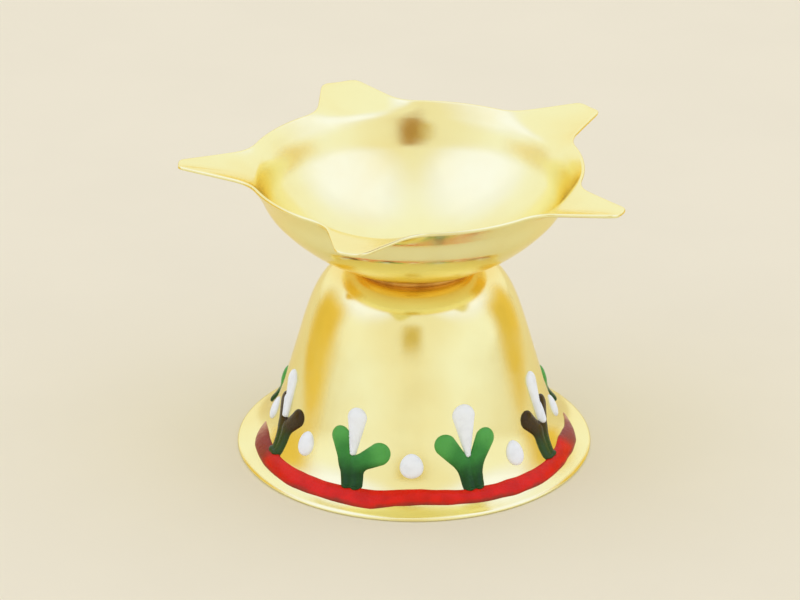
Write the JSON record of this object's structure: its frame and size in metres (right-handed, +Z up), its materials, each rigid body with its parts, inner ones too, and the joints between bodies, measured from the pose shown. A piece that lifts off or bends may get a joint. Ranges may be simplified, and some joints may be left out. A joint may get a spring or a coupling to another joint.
{
  "type": "enamelled diya",
  "caption": "Small footed oil lamp: a shallow bowl with wick beaks round its rim, bolted to a hollow bell-shaped stand that carries a painted enamel border of sprigs, petals and drops.",
  "frame": {"origin": "bottom centre of the bounding box, on the surface the lamp stands on; the lamp's own axis is 3.01 mm along +X and 0.05 mm along +Y from it, because the five beaks reach further one way", "axes": "+Z up along the lamp's axis; +Y away from the pictured front; +X to the pictured right, opposite the left-hand beak"},
  "size_m": [0.072, 0.0728, 0.0513],
  "materials": {
    "brass": "polished and lacquered",
    "hardware_brass": "turned, unpolished",
    "red_enamel": "glossy, laid on by brush",
    "green_enamel": "glossy, laid on by brush",
    "white_enamel": "glossy, laid on by brush"
  },
  "bodies": {
    "root": {"bowl": "brass", "stand": "brass", "stud": "hardware_brass", "washer": "hardware_brass", "nut": "hardware_brass", "red_band": "red_enamel", "red_band_back": "red_enamel", "sprig_1": "green_enamel", "sprig_2": "green_enamel", "sprig_3": "green_enamel", "sprig_4": "green_enamel", "sprig_5": "green_enamel", "sprig_6": "green_enamel", "sprig_7": "green_enamel", "sprig_8": "green_enamel", "petal_1": "white_enamel", "petal_2": "white_enamel", "petal_3": "white_enamel", "petal_4": "white_enamel", "petal_5": "white_enamel", "petal_6": "white_enamel", "petal_7": "white_enamel", "petal_8": "white_enamel", "drop_1": "white_enamel", "drop_2": "white_enamel", "drop_3": "white_enamel", "drop_4": "white_enamel", "drop_5": "white_enamel", "drop_6": "white_enamel", "drop_7": "white_enamel", "drop_8": "white_enamel"}
  },
  "joints": []
}
